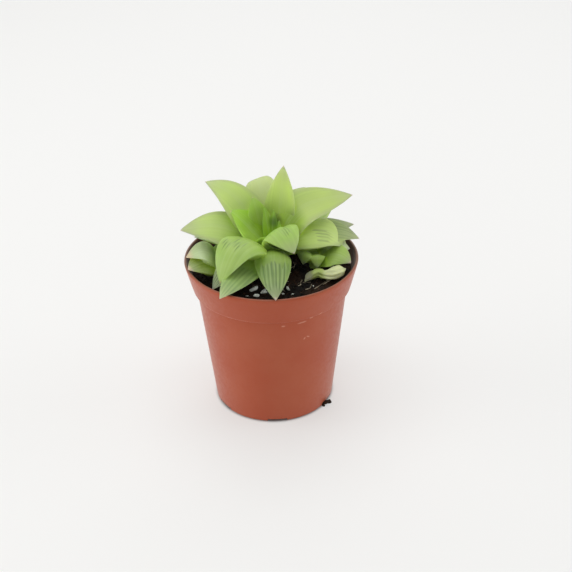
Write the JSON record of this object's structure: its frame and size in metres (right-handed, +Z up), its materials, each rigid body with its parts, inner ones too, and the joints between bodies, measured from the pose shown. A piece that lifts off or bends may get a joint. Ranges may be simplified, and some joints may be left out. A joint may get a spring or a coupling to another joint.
{
  "type": "potted haworthia",
  "caption": "Small rosette succulent with plump pointed window leaves and young offsets, planted in peat in a round tapered plastic nursery pot.",
  "frame": {"origin": "on the surface that the pot stands on, under the centre of the pot", "axes": "+Z up the pot's axis, -Y towards the viewer of the picture, +X to the viewer's right"},
  "size_m": [0.0563, 0.0569, 0.078],
  "materials": {
    "pot_plastic": "thin satin terracotta-coloured moulded plastic",
    "soil": "damp dark peat",
    "leaf": "smooth waxy translucent leaf",
    "root": "pale fleshy root",
    "young_leaf": "smooth waxy translucent leaf, greyer at the windows",
    "dry_leaf": "shrivelled papery leaf",
    "perlite": "matt white expanded mineral"
  },
  "bodies": {
    "root": {"pot": "pot_plastic", "soil": "soil", "main_rosette": "leaf", "main_roots": "root", "left_offset": "young_leaf", "right_offset": "young_leaf", "shrivelled_leaf": "dry_leaf", "perlite_1": "perlite", "perlite_2": "perlite", "perlite_3": "perlite", "perlite_4": "perlite", "perlite_5": "perlite"}
  },
  "joints": []
}
